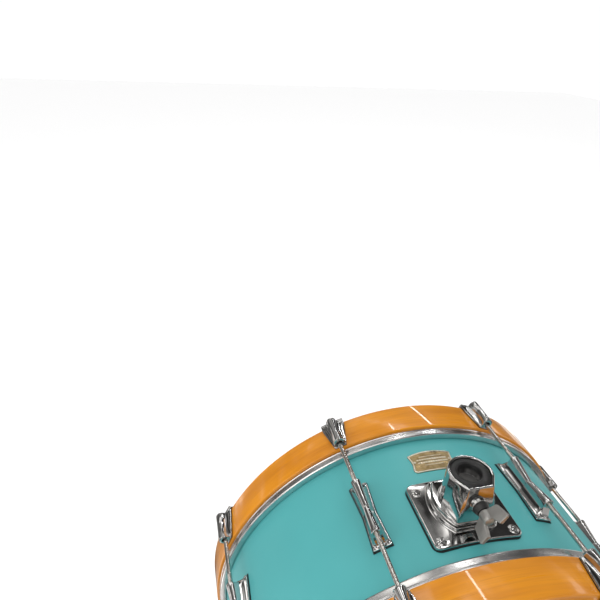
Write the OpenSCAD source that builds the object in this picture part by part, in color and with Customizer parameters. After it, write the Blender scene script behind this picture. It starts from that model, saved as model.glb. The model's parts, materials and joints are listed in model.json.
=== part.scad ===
// Bass drum: a shallow wooden shell with two tensioned heads, single-row lugs, claw hooks,
// a tube receiver on top and two folding spurs.
// Frame: origin on the floor under the drum's middle, Z up, Y along the drum's axis.
// The batter (player's) side is -Y and the front side is +Y.

/* [Shell] */
// Outside diameter of the shell
shell_d = 507; // [504:1:508]
// Length of the shell along the drum's axis
shell_len = 203; // [200:1:210]
// Thickness of the shell's wall
shell_wall = 6; // [5:0.5:7]
// Thickness of the head film
film_t = 0.5; // [0.4:0.1:0.8]

/* [Hoops] */
// Outside diameter of the wooden hoops
hoop_d = 532; // [530:1:534]
// Thickness of the wooden hoops
hoop_t = 10; // [8:0.5:10]
// Width of the wooden hoops along the drum's axis
hoop_w = 43; // [41:1:45]
// Width of the metal hoop that carries each head
flesh_w = 12; // [10:0.5:12]

/* [Lugs] */
// Lugs round the shell, each with one rod to either side
lug_count = 8; // [8:1:8]
// Length of a lug's foot
lug_len = 86; // [84:1:88]
// Width of a lug's foot at its ends
lug_end_w = 22; // [20:0.5:24]
// Width of a lug's foot at its waist
lug_waist_w = 16.5; // [15:0.5:17]
// Diameter of the tension rods
rod_d = 5.9; // [5.8:0.05:5.9]

/* [Tube receiver] */
// Width of the receiver's plate across the drum
plate_w = 102; // [98:1:104]
// Length of the receiver's plate along the drum's axis
plate_l = 86; // [84:1:88]
// Bore of the receiver's bushing
tube_bore_d = 25.6; // [25.4:0.1:25.8]
// Height of the receiver's tower above the drum's axis
tower_top = 310; // [306:1:314]

/* [Spurs] */
// Angle of the spurs round the shell, from the top
spur_angle = 135; // [134:0.5:136]
// Diameter of the spur legs
leg_d = 13; // [12:0.5:13]
// Radius of the rubber feet
foot_r = 9.5; // [9:0.5:9.5]

/* [Hidden] */
$fn = 96;
shell_r = shell_d / 2;
shell_ri = shell_r - shell_wall;
edge_y = shell_len / 2;
hoop_r = hoop_d / 2;
hoop_ri = hoop_r - hoop_t;
axis_z = hoop_r;

bearing_flat = 1.5;
bearing_cut = shell_wall - bearing_flat;
screw_hole_r = 2.8;
tapped_r = 2.4;
washer_r = 6.5;
washer_t = 1.2;
washer_gap = 0.3;
cap_r = 4.5;
cap_h = 3.2;

head_gap = 0.1;
head_drop = 4;
collar_ri = shell_r + head_gap;
collar_r = collar_ri + film_t;
flesh_ri = collar_r + head_gap;
flesh_r = hoop_r - 3.5;
flesh_y = edge_y - 2.5;
hoop_y = flesh_y + hoop_w;
hoop_chamfer = 1.2;

lug_pitch = 360 / lug_count;
rod_r = rod_d / 2;
rod_circle = hoop_r + 7;
rod_start = 22;
rod_bore = 0.35;
rod_flange_r = 5.2;
rod_flange_t = 1.8;
key_side = 6;
key_l = 5.5;
gasket_t = 1.2;
lug_base = shell_r + gasket_t;
lug_flange = 2.5;
lug_half = lug_len / 2;
rib_end = lug_half - 7;
rib_r = 6;
rib_waist_r = 4.2;
rib_dip = 5.5;
nut_r = 3.95;
nut_y = [27, 35];
lug_screw_y = 20;
lug_screw_reach = 6;
skirt_inset = 0.8;

pad_t = 1.2;
claw_base = hoop_r + pad_t;
claw_half = 15.5;
claw_tip_half = 8;
claw_y = 101;
claw_back_t = 2.8;
claw_shoulder_y = hoop_y - 6;
claw_back_y = hoop_y + pad_t;
claw_side_t = 2.3;
claw_end = hoop_y - 1;
claw_bore = 0.7;
bar_r = 5;
bar_top = rod_circle + 4;
mouth_r = 7;
mouth_l = 14;
cup_r = 6.8;
cup_l = 10;
cup_bore_r = 5.6;
seat_y = claw_end - rod_flange_t - key_l - 0.4;
lip_half = 9;
lip_y = hoop_y - 11;
lip_out = hoop_ri - pad_t;
lip_in = lip_out - 2.3;

recv_y = -25.5;
tube_y = -22;
tube_hole_r = 14;
plate_r = 9;
plate_crown_r = 400;
plate_top = shell_r + gasket_t + 2.8;
plate_screw = [42, 32.5];
plate_screw_y = -28;
plate_screw_r = [5.8, 4.4];
plate_screw_h = 3.6;
plate_seat = 254.7;
plate_shank_r = 2.5;
plate_nut = [4.6, 4.4];
plate_nut_z = shell_ri - 12.5;
backplate = [96, 78, 6];
backplate_t = 3.2;
boss_r = 51.4;
boss_shift = 15.4;
boss_y = -20;
boss_ends = [-54, 12];
boss_step = 4;
boss_ledge = 262;
boss_top = 267;
bush_z = [262.2, 308];
wall_t = 3;
tower_near = -47;
tower_bend_y = -33;
tower_y = -24;
tower_half = 25;
tower_face = 14.5;
tower_flare = 5;
wing_z = 288;
wing_tilt = 28;
bolt_r = 4;
bolt_tip_y = tube_y - tube_bore_d / 2 - 0.3;
bolt_boss_r = 9.5;
bolt_boss_y = -52;
collar_y = -59;
collar_radii = [8.8, 6.8];

badge_y = 51;
badge_t = 1.2;
badge_half = 29;
badge_half_l = 16;
badge_notch = 26.8;
badge_crown = 98;
nail_angle = 5.2;
nail_r = 0.8;

spur_y = 20;
spur_base_side = [58, 56, 8];
spur_base_t = 3.5;
spur_screw_angle = 5;
spur_screw_y = 20;
spur_screw_reach = 1.9;
spur_pivot_r = hoop_r + 10;
spur_lean = 15;
leg_r = leg_d / 2;
leg_dir_y = 0.38;
spur_knuckle_r = 12;
spur_knuckle_half = 8;
knuckle_l = 14;
knuckle_gap = 0.3;
pin_r = 4;
pin_tip = -spur_knuckle_half - knuckle_l + 1;
holder_len = 74;
holder_r = 9.5;
leg_start = 18;
leg_bolt_r = 3;
leg_bolt_s = 60;
leg_boss = 8;
leg_boss_r = 7;
foot_l = 16;
foot_grip = 3;
leg_lean = asin(leg_dir_y);
leg_drop = -cos(leg_lean) * cos(spur_angle - spur_lean);
pivot_z = axis_z + spur_pivot_r * cos(spur_angle);
foot_s = (pivot_z - foot_r) / leg_drop;
running_gap = 0.05;

lug_names = [for (i = [1:lug_count]) str("lug_", i)];
batter_rod_names = [for (i = [1:lug_count]) str("batter_rod_", i)];
front_rod_names = [for (i = [1:lug_count]) str("front_rod_", i)];
side_names = ["left", "right"];
spur_parts = ["bracket", "holder", "leg", "foot", "pivot_bolt", "leg_wing"];
spur_names = [for (p = spur_parts) for (s = side_names) str("spur_", p, "_", s)];

// ---- places and shapes that several parts share ----

// Points of an arc in a plane
function arc(cx, cy, r, a0, a1, n = 12) =
    [for (i = [0:n]) [cx + r * cos(a0 + (a1 - a0) * i / n), cy + r * sin(a0 + (a1 - a0) * i / n)]];

// Points mirrored in the plane's second axis, in reverse order, so that an outline closes
function mirrored(points) = [for (i = [len(points) - 1:-1:0]) [-points[i][0], points[i][1]]];

function lug_angle(i) = (i - 0.5) * lug_pitch;

// Moves a shape with Z pointing away from the drum's axis to its angle round the shell
module at_angle(a) translate([0, 0, axis_z]) rotate([0, a, 0]) children();

// Every lug position in turn
module at_lugs() for (i = [1:lug_count]) at_angle(lug_angle(i)) children();

// The front side as drawn, and the batter side as its mirror image
module on_side(front) mirror([0, front ? 0 : 1, 0]) children();
module on_both_sides() {
    on_side(true) children();
    on_side(false) children();
}

// A profile of [radius, y] turned about the drum's axis
module turned(points) translate([0, 0, axis_z]) rotate([-90, 0, 0])
    rotate_extrude($fn = 360) polygon(points);

// A tube about the drum's axis, in the frame of at_angle
module band(r_in, r_out, y0, y1) rotate([-90, 0, 0]) difference() {
    translate([0, 0, y0]) cylinder(r = r_out, h = y1 - y0, $fn = 360);
    translate([0, 0, y0 - 1]) cylinder(r = r_in, h = y1 - y0 + 2, $fn = 360);
}

// A cylinder along Y from y0 to y1 at height z
module along_y(r, y0, y1, z = 0) translate([0, y0, z]) rotate([-90, 0, 0])
    cylinder(r = r, h = y1 - y0);

// A flat outline with round corners, built from exact shapes
module rounded(w, l, r) {
    square([w - 2 * r, l], center = true);
    square([w, l - 2 * r], center = true);
    for (x = [-1, 1]) for (y = [-1, 1]) translate([x * (w / 2 - r), y * (l / 2 - r)]) circle(r);
}

// ---- shell, heads and hoops ----

module shell() color("mediumturquoise") difference() {
    turned([
        [shell_ri, -edge_y + bearing_cut], [shell_r - bearing_flat, -edge_y],
        [shell_r, -edge_y + bearing_flat], [shell_r, edge_y - bearing_flat],
        [shell_r - bearing_flat, edge_y], [shell_ri, edge_y - bearing_cut]
    ]);
    at_lugs() for (s = [-1, 1]) translate([0, s * lug_screw_y, shell_ri - 2])
        cylinder(r = screw_hole_r, h = shell_wall + 4);
    translate([0, 0, axis_z]) {
        translate([0, tube_y, shell_ri - 4]) cylinder(r = tube_hole_r, h = shell_wall + 8);
        at_plate_screws() translate([0, 0, shell_ri - 8])
            cylinder(r = screw_hole_r, h = shell_wall + 16);
    }
    for (s = [-1, 1]) at_angle(s * spur_angle) at_spur_screws()
        translate([0, 0, shell_ri - 4]) cylinder(r = screw_hole_r, h = shell_wall + 8);
}

module head() turned([
    [0, edge_y], [collar_ri, edge_y], [collar_ri, edge_y - head_drop],
    [collar_r, edge_y - head_drop], [collar_r, edge_y + film_t], [0, edge_y + film_t]
]);

module flesh_hoop() turned([
    [flesh_ri, flesh_y - flesh_w], [flesh_r - 1, flesh_y - flesh_w],
    [flesh_r, flesh_y - flesh_w + 1], [flesh_r, flesh_y], [flesh_ri, flesh_y]
]);

module wooden_hoop() turned([
    [hoop_ri, flesh_y + hoop_chamfer], [hoop_ri + hoop_chamfer, flesh_y],
    [hoop_r - hoop_chamfer, flesh_y], [hoop_r, flesh_y + hoop_chamfer],
    [hoop_r, hoop_y - hoop_chamfer], [hoop_r - hoop_chamfer, hoop_y],
    [hoop_ri + hoop_chamfer, hoop_y], [hoop_ri, hoop_y - hoop_chamfer]
]);

// ---- lugs and tension rods ----

// The lug's hourglass outline, seen from outside the shell
module hourglass(end_half, waist_half, half_len) polygon([
    [-end_half, -half_len], [end_half, -half_len], [waist_half, 0],
    [end_half, half_len], [-end_half, half_len], [-waist_half, 0]
]);

// The flaring half section between a foot and a rib: a quarter hollow curve
function flare(foot_half, foot_z, rib_half, rib_z) =
    let (dx = foot_half - rib_half, dz = rib_z - foot_z, r = (dx * dx + dz * dz) / (2 * dx))
    arc(rib_half + r, rib_z, r, 180 + acos((r - dx) / r), 180, 8);

module lug_body() {
    foot_z = lug_base + lug_flange;
    skirt = concat([[lug_end_w / 2, lug_base - 2]],
        flare(lug_end_w / 2, foot_z, rib_waist_r, rod_circle - 3));
    rib_top = arc(0, rod_circle, rib_r, 0, 180, 24);
    // foot plate
    intersection() {
        translate([0, 0, lug_base - 2]) linear_extrude(8)
            hourglass(lug_end_w / 2, lug_waist_w / 2, lug_half);
        band(lug_base - 3, foot_z, -lug_half, lug_half);
    }
    // skirt and rib under a shallow valley
    intersection() {
        union() {
            intersection() {
                rotate([90, 0, 0]) linear_extrude(lug_len, center = true)
                    polygon(concat(skirt, mirrored(skirt)));
                translate([0, 0, lug_base - 2]) linear_extrude(30)
                    offset(delta = -skirt_inset) hourglass(lug_end_w / 2, lug_waist_w / 2, lug_half);
            }
            intersection() {
                rotate([90, 0, 0]) linear_extrude(lug_len, center = true)
                    polygon(concat([[rib_r, lug_base - 2]], rib_top, [[-rib_r, lug_base - 2]]));
                translate([0, 0, lug_base - 2]) linear_extrude(30)
                    hourglass(rib_r, rib_waist_r, rib_end);
            }
        }
        rotate([90, 0, 90]) linear_extrude(lug_end_w, center = true) polygon([
            [-lug_half, lug_base - 2], [-lug_half, foot_z], [-rib_end, rod_circle - rib_r],
            [-rib_end, rod_circle + rib_r], [0, rod_circle + rib_r - rib_dip],
            [rib_end, rod_circle + rib_r], [rib_end, rod_circle - rib_r],
            [lug_half, foot_z], [lug_half, lug_base - 2]
        ]);
    }
}

module lug(i) color("silver") at_angle(lug_angle(i)) difference() {
    lug_body();
    band(lug_base - 9, lug_base, -lug_half - 1, lug_half + 1);
    for (s = [-1, 1]) {
        mirror([0, s < 0 ? 1 : 0, 0]) {
            along_y(rod_r + rod_bore, rod_start - 2, lug_half + 1, rod_circle);
            along_y(nut_r, nut_y[0], nut_y[1], rod_circle);
        }
        translate([0, s * lug_screw_y, lug_base - 2]) cylinder(r = tapped_r, h = lug_screw_reach + 3);
    }
}

module lug_gaskets() color("black") at_lugs() difference() {
    intersection() {
        translate([0, 0, lug_base - 4]) linear_extrude(8)
            hourglass(lug_end_w / 2 + 1, lug_waist_w / 2 + 1, lug_half + 1);
        band(shell_r, lug_base, -lug_half - 2, lug_half + 2);
    }
    for (s = [-1, 1]) translate([0, s * lug_screw_y, shell_r - 2]) cylinder(r = screw_hole_r, h = 6);
}

// A screw from inside the shell with its washer
module inner_screw(reach) {
    washer_z = shell_ri - washer_gap - washer_t;
    translate([0, 0, washer_z]) cylinder(r = washer_r, h = washer_t);
    translate([0, 0, washer_z - cap_h]) cylinder(r = cap_r, h = cap_h);
    translate([0, 0, washer_z - 0.2]) cylinder(r = tapped_r, h = reach - washer_z + 0.2);
}

module lug_screws() color("silver") at_lugs() for (s = [-1, 1])
    translate([0, s * lug_screw_y, 0]) inner_screw(lug_base + lug_screw_reach);

module swivel_nuts() color("goldenrod") on_both_sides() at_lugs() difference() {
    along_y(nut_r, nut_y[0], nut_y[1], rod_circle);
    along_y(rod_r + running_gap, nut_y[0] - 1, nut_y[1] + 1, rod_circle);
}

module rod(i, front) color("gainsboro") on_side(front) at_angle(lug_angle(i)) {
    flange_y = seat_y + running_gap;
    along_y(rod_r, rod_start, flange_y + 1, rod_circle);
    along_y(rod_flange_r, flange_y, flange_y + rod_flange_t, rod_circle);
    translate([-key_side / 2, flange_y + rod_flange_t - 0.2, rod_circle - key_side / 2])
        cube([key_side, key_l + 0.2, key_side]);
}

// ---- claw hooks ----

// The claw's shield outline over the hoop
module shield() polygon([
    [-claw_half, claw_back_y + claw_back_t], [-claw_half, claw_shoulder_y], [-claw_tip_half, claw_y],
    [claw_tip_half, claw_y], [claw_half, claw_shoulder_y], [claw_half, claw_back_y + claw_back_t]
]);

// The shape of the claw's turned-down back
module claw_back(y, t, half, low) translate([0, y + t, 0]) rotate([90, 0, 0]) linear_extrude(t)
    polygon([[-half, claw_base + 2], [-half, hoop_ri + 6], [-half + 5, low],
        [half - 5, low], [half, hoop_ri + 6], [half, claw_base + 2]]);

// The lip inside the hoop, and the pad under it
module claw_lip(r_in, r_out, y1) intersection() {
    band(r_in, r_out, lip_y, y1);
    translate([-lip_half, lip_y - 1, r_in - 2])
        cube([2 * lip_half, y1 - lip_y + 2, r_out - r_in + 4]);
}

// The bar over the rod: wide at its mouth, slim in the middle, with a cup for the rod's head
module claw_bar() {
    translate([0, claw_y - 0.5, rod_circle]) rotate([-90, 0, 0])
        cylinder(r1 = mouth_r, r2 = bar_r, h = mouth_l);
    along_y(bar_r, claw_y + 1, claw_end, rod_circle);
    along_y(bar_r, claw_y - 0.5, claw_end, bar_top);
    translate([-bar_r, claw_y - 0.5, rod_circle])
        cube([2 * bar_r, claw_end - claw_y + 0.5, bar_top - rod_circle]);
    translate([0, claw_end - 2 * cup_l, rod_circle]) rotate([-90, 0, 0])
        cylinder(r1 = bar_r - 1, r2 = cup_r, h = cup_l);
    along_y(cup_r, claw_end - cup_l, claw_end, rod_circle);
}

module claw() difference() {
    union() {
        intersection() {
            translate([0, 0, claw_base - 2]) linear_extrude(20) shield();
            rotate([-90, 0, 0]) linear_extrude(2 * hoop_y) polygon([
                [-claw_half, -claw_base + 2], [-claw_half, -claw_base - claw_side_t],
                [-bar_r, -rod_circle], [bar_r, -rod_circle],
                [claw_half, -claw_base - claw_side_t], [claw_half, -claw_base + 2]
            ]);
        }
        claw_bar();
        claw_back(claw_back_y, claw_back_t, claw_half, lip_in + 0.5);
        claw_lip(lip_in, lip_out, claw_back_y + 1);
    }
    band(lip_out, claw_base, claw_y - 10, claw_back_y);
    along_y(rod_r + claw_bore, claw_y - 2, claw_end + 1, rod_circle);
    along_y(cup_bore_r, seat_y, claw_back_y + 20, rod_circle);
}

module claw_gaskets() color("black") on_both_sides() at_lugs() {
    intersection() {
        translate([0, 0, claw_base - 4]) linear_extrude(8) shield();
        band(hoop_r, claw_base, claw_y, claw_back_y);
    }
    difference() {
        claw_back(hoop_y, pad_t, claw_half - 1, lip_out);
        band(hoop_r, claw_base + 9, hoop_y - 1, claw_back_y + 1);
        band(lip_in - 9, lip_out, hoop_y - 1, claw_back_y + 1);
    }
    claw_lip(lip_out, hoop_ri, hoop_y);
}

// ---- tube receiver ----

module at_plate_screws() for (x = [-1, 1]) for (y = [-1, 1])
    translate([x * plate_screw[0], plate_screw_y + y * plate_screw[1], 0]) children();

// Outline of the raised boss: two equal arcs cut off at both ends
module boss_outline(inset) intersection() {
    translate([boss_shift, boss_y]) circle(boss_r - inset, $fn = 180);
    translate([-boss_shift, boss_y]) circle(boss_r - inset, $fn = 180);
    translate([-boss_r, boss_ends[0] + inset])
        square([2 * boss_r, boss_ends[1] - boss_ends[0] - 2 * inset]);
}

// Outline of the tower: a flat near face that widens to a round back
module tower_outline(inset, grow = 0) {
    near = tower_near - grow + inset;
    half = tower_half + grow * 0.4 - inset;
    face = tower_face + grow * 1.6 - inset * 0.6;
    polygon(concat(
        [[-face, near], [face, near], [half - 2, tower_bend_y]],
        arc(0, tower_y, half, 0, 180, 24),
        [[-half + 2, tower_bend_y]]
    ));
}

// A wing bolt along +Z from its tip: threaded shank, hub and two spread paddles
module wing_bolt(shank_r, shank_l, hub_r, hub_l, span, spread) {
    cylinder(r = shank_r, h = shank_l + 1);
    translate([0, 0, shank_l]) cylinder(r = hub_r, h = hub_l);
    for (s = [0, 180]) rotate([0, 0, s]) translate([0, 0, shank_l]) rotate([90, 0, 0])
        linear_extrude(hub_r * 0.75, center = true) polygon([
            [hub_r * 0.3, 0.6], [hub_r * 0.85, 0.3], [span * 0.8, spread * 0.25],
            [span, spread * 0.96], [span * 0.42, spread], [hub_r * 0.9, hub_l * 0.95],
            [hub_r * 0.3, hub_l * 0.9]
        ]);
}

module tom_receiver() color("silver") translate([0, 0, axis_z]) difference() {
    union() {
        intersection() {
            translate([0, recv_y, shell_r - 12]) linear_extrude(30) rounded(plate_w, plate_l, plate_r);
            translate([0, -90, plate_top - plate_crown_r]) rotate([-90, 0, 0])
                cylinder(r = plate_crown_r, h = 120, $fn = 360);
        }
        translate([0, 0, shell_r - 2]) linear_extrude(boss_ledge - shell_r + 2) boss_outline(0);
        translate([0, 0, shell_r]) linear_extrude(boss_top - shell_r) boss_outline(boss_step);
        hull() {
            translate([0, 0, boss_top - 1]) linear_extrude(0.5) tower_outline(0, tower_flare);
            translate([0, 0, tower_top - 0.5]) linear_extrude(0.5) tower_outline(0, 0);
        }
        along_y(bolt_boss_r, bolt_boss_y, tower_near + 4, wing_z);
    }
    band(shell_r - 30, shell_r + gasket_t, -100, 100);
    translate([0, 0, bush_z[0]]) linear_extrude(60) tower_outline(wall_t);
    translate([0, tube_y, 240]) cylinder(r = tube_hole_r, h = 40);
    along_y(bolt_r + running_gap, -80, tube_y, wing_z);
    at_plate_screws() {
        translate([0, 0, shell_r - 10]) cylinder(r = plate_shank_r + running_gap, h = 30);
        translate([0, 0, plate_seat]) cylinder(r = plate_screw_r[0] + 0.2, h = 20);
    }
}

module receiver_gasket() color("black") translate([0, 0, axis_z]) difference() {
    intersection() {
        translate([0, recv_y, shell_r - 12]) linear_extrude(30)
            rounded(plate_w + 2, plate_l + 2, plate_r + 1);
        band(shell_r, shell_r + gasket_t, -90, 60);
    }
    translate([0, tube_y, 240]) cylinder(r = tube_hole_r, h = 40);
    at_plate_screws() translate([0, 0, shell_r - 10]) cylinder(r = screw_hole_r, h = 30);
}

module receiver_bushing() color("dimgray") translate([0, 0, axis_z]) difference() {
    translate([0, 0, bush_z[0]]) linear_extrude(bush_z[1] - bush_z[0])
        tower_outline(wall_t + 0.1);
    translate([0, tube_y, 240]) cylinder(r = tube_bore_d / 2, h = 90);
    along_y(bolt_r + 0.6, -80, tube_y, wing_z);
}

// A crosshead screw through the plate and the shell, with its washer and nut inside
module receiver_screws() color("silver") translate([0, 0, axis_z]) at_plate_screws() {
    difference() {
        translate([0, 0, plate_seat])
            cylinder(r1 = plate_screw_r[0], r2 = plate_screw_r[1], h = plate_screw_h);
        for (a = [0, 90]) rotate([0, 0, a + 20]) translate([0, 0, plate_seat + plate_screw_h])
            cube([1.3, 5, 3], center = true);
    }
    translate([0, 0, plate_nut_z - 1]) cylinder(r = plate_shank_r, h = plate_seat - plate_nut_z + 1.5);
    translate([0, 0, plate_nut_z]) cylinder(r = plate_nut[0], h = plate_nut[1], $fn = 6);
}

module receiver_backplate() color("gray") translate([0, 0, axis_z]) difference() {
    intersection() {
        translate([0, plate_screw_y, shell_ri - 16]) linear_extrude(20)
            rounded(backplate[0], backplate[1], backplate[2]);
        band(shell_ri - backplate_t - 0.2, shell_ri - 0.2, -90, 60);
    }
    translate([0, tube_y, 220]) cylinder(r = tube_hole_r + 1, h = 40);
    at_plate_screws() translate([0, 0, 220]) cylinder(r = screw_hole_r, h = 40);
}

module receiver_collar() color("black") translate([0, 0, axis_z]) difference() {
    translate([0, bolt_boss_y, wing_z]) rotate([90, 0, 0])
        cylinder(r1 = collar_radii[0], r2 = collar_radii[1], h = bolt_boss_y - collar_y);
    along_y(bolt_r + running_gap, -80, tube_y, wing_z);
}

module receiver_wing_bolt() color("darkgray") translate([0, bolt_tip_y, axis_z + wing_z])
    rotate([0, wing_tilt, 0]) rotate([90, 0, 0]) rotate([0, 0, 90])
        wing_bolt(bolt_r, bolt_tip_y - collar_y + 0.3, 6.6, 12, 22, 22);

// ---- badge ----

badge_outline = concat(
    arc(0, badge_y + badge_half_l - badge_crown, badge_crown, 73, 107, 12),
    [[-badge_notch, badge_y + 4], [-badge_notch, badge_y - 4]],
    [[-badge_half, badge_y + 4 - badge_half_l], [-badge_half + 4, badge_y - badge_half_l]],
    [[badge_half - 4, badge_y - badge_half_l], [badge_half, badge_y + 4 - badge_half_l]],
    [[badge_notch, badge_y - 4], [badge_notch, badge_y + 4]]
);

module badge() color("goldenrod") translate([0, 0, axis_z]) difference() {
    intersection() {
        translate([0, 0, shell_r - 6]) linear_extrude(12) polygon(badge_outline);
        band(shell_r, shell_r + badge_t, 0, 90);
    }
    for (s = [-1, 1]) rotate([0, s * nail_angle, 0]) translate([0, badge_y, shell_r - 1])
        cylinder(r = nail_r + 0.1, h = 4);
}

module badge_nails() color("goldenrod") for (s = [-1, 1]) at_angle(s * nail_angle)
    translate([0, badge_y, 0]) {
        translate([0, 0, shell_r]) cylinder(r = nail_r, h = badge_t + 0.3);
        translate([0, 0, shell_r + badge_t]) cylinder(r1 = 1.8, r2 = 1.2, h = 0.7);
    }

// ---- spurs ----

// The screws of a spur's bracket, in the frame of at_angle
module at_spur_screws() for (x = [-1, 1]) for (y = [-1, 1]) rotate([0, x * spur_screw_angle, 0])
    translate([0, spur_y + y * spur_screw_y, 0]) children();

// The spur's own frame: origin at the pivot, X away from the shell, Y along the drum,
// Z along the pivot's pin; drawn for the right spur, mirrored for the left
module at_pivot(right) mirror([right ? 0 : 1, 0, 0]) at_angle(spur_angle)
    translate([0, spur_y, spur_pivot_r]) rotate([0, -90 - spur_lean, 0]) children();

// The frame of the leg at rest: X along the leg, Z along the pivot's pin
module at_leg(right) at_pivot(right) rotate([0, 0, leg_lean]) children();

module along_leg(r, s0, s1) translate([s0, 0, 0]) rotate([0, 90, 0]) cylinder(r = r, h = s1 - s0);

module spur_base(grow, r_in, r_out) intersection() {
    translate([0, spur_y, shell_r - 6]) linear_extrude(14)
        rounded(spur_base_side[0] + grow, spur_base_side[1] + grow, spur_base_side[2]);
    band(r_in, r_out, spur_y - 40, spur_y + 40);
}

module spur_gaskets() color("black") for (s = [-1, 1]) at_angle(s * spur_angle) difference() {
    spur_base(2, shell_r, lug_base);
    at_spur_screws() translate([0, 0, shell_r - 6]) cylinder(r = screw_hole_r, h = 12);
}

module spur_screws() color("silver") for (s = [-1, 1]) at_angle(s * spur_angle)
    at_spur_screws() inner_screw(lug_base + spur_screw_reach);

module spur_bracket(right) color("silver") difference() {
    union() {
        mirror([right ? 0 : 1, 0, 0]) at_angle(spur_angle) spur_base(0, lug_base, lug_base + spur_base_t);
        at_pivot(right) translate([0, 0, -knuckle_l - spur_knuckle_half - knuckle_gap]) {
            cylinder(r = spur_knuckle_r, h = knuckle_l);
            translate([-25, -spur_knuckle_r + 1, 0]) cube([25, 2 * spur_knuckle_r - 2, knuckle_l]);
        }
    }
    at_angle(right ? spur_angle : -spur_angle) band(shell_r - 30, lug_base, spur_y - 60, spur_y + 60);
    at_pivot(right) translate([0, 0, pin_tip]) cylinder(r = pin_r + running_gap, h = 40);
    at_angle(right ? spur_angle : -spur_angle) at_spur_screws() translate([0, 0, shell_r - 6])
        cylinder(r = tapped_r, h = lug_base - shell_r + 6.3 + spur_screw_reach);
}

module spur_holder(right) color("silver") at_leg(right) difference() {
    union() {
        translate([0, 0, -spur_knuckle_half]) cylinder(r = spur_knuckle_r, h = 2 * spur_knuckle_half);
        translate([0, -holder_r + 0.5, -spur_knuckle_half])
            cube([leg_start, 2 * holder_r - 1, 2 * spur_knuckle_half]);
        along_leg(holder_r, spur_knuckle_r + 1, holder_len);
        translate([leg_bolt_s, -holder_r + 2, 0]) rotate([90, 0, 0]) cylinder(r = leg_boss_r, h = leg_boss);
    }
    along_leg(leg_r + running_gap, leg_start - 1, holder_len + 1);
    translate([0, 0, -20]) cylinder(r = pin_r + running_gap, h = 40);
    translate([leg_bolt_s, 0, 0]) rotate([90, 0, 0]) cylinder(r = leg_bolt_r + running_gap, h = 40);
}

module spur_leg(right) color("silver") at_leg(right) along_leg(leg_r, leg_start, foot_s - foot_grip);

module spur_foot(right) color("black") at_leg(right) difference() {
    union() {
        along_leg(foot_r, foot_s - foot_l, foot_s);
        translate([foot_s, 0, 0]) sphere(foot_r);
    }
    along_leg(leg_r, foot_s - foot_l - 4, foot_s - foot_grip);
}

// The drum-key bolt that the spur folds about
module spur_pivot_bolt(right) color("gainsboro") at_pivot(right) {
    translate([0, 0, pin_tip + 0.6]) cylinder(r = pin_r, h = spur_knuckle_half - pin_tip - 0.2);
    translate([0, 0, spur_knuckle_half + 0.4]) cylinder(r = 7, h = 2.4);
    translate([0, 0, spur_knuckle_half + 5.6]) cube([key_side, key_side, 6], center = true);
}

// The wing bolt that clamps the leg at its length
module spur_leg_wing(right) color("darkgray") at_leg(right) translate([leg_bolt_s, -leg_r - 0.3, 0])
    rotate([90, 0, 0]) wing_bolt(leg_bolt_r, holder_r + leg_boss - leg_r - 2 + 0.1, 4.8, 8, 17, 15);

// ---- the nodes ----

shell();
color("ivory") on_side(false) head();  // batter_head
color("ivory") on_side(true) head();  // front_head
color("silver") on_side(false) flesh_hoop();  // batter_flesh_hoop
color("silver") on_side(true) flesh_hoop();  // front_flesh_hoop
color("orange") on_side(false) wooden_hoop();  // batter_hoop
color("orange") on_side(true) wooden_hoop();  // front_hoop
color("silver") on_side(false) at_lugs() claw();  // batter_claws
color("silver") on_side(true) at_lugs() claw();  // front_claws
claw_gaskets();
for (i = [1:lug_count]) lug(i);
lug_gaskets();
lug_screws();
swivel_nuts();
for (i = [1:lug_count]) rod(i, false);
for (i = [1:lug_count]) rod(i, true);
tom_receiver();
receiver_gasket();
receiver_bushing();
receiver_screws();
receiver_backplate();
receiver_collar();
receiver_wing_bolt();
badge();
badge_nails();
for (right = [false, true]) {
    side = side_names[right ? 1 : 0];
    spur_bracket(right);
    spur_holder(right);
    spur_leg(right);
    spur_foot(right);
    spur_pivot_bolt(right);
    spur_leg_wing(right);
}
spur_gaskets();
spur_screws();
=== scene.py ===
"""The looks of the bass drum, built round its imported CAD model.

Shapes are worked out in millimetres in the drum's own terms: x across, y along the drum's axis and
z away from it, and become metres when a mesh is made. Places and main sizes come from the frame.
"""
import json
import math

import bmesh
import bpy
from mathutils import Matrix, Vector


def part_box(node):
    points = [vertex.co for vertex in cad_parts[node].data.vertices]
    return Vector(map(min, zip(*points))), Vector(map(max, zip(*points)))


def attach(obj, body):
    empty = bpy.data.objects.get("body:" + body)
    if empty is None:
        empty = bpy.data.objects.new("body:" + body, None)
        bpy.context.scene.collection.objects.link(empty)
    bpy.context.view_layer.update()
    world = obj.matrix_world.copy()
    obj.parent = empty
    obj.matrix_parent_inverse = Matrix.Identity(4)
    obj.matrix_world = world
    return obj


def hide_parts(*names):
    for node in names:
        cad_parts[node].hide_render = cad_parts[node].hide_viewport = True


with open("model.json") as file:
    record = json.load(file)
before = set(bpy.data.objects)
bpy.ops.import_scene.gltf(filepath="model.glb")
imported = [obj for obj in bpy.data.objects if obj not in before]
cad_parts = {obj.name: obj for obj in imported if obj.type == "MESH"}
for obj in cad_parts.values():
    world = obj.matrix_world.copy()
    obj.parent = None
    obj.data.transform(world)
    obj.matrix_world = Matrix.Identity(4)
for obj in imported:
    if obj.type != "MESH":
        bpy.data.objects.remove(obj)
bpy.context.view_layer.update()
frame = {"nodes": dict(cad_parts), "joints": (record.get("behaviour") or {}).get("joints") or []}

MM = 0.001


# ---- sizes that the frame gives, in millimetres ----

def box_mm(node):
    low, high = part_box(node)
    return low / MM, high / MM


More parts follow.
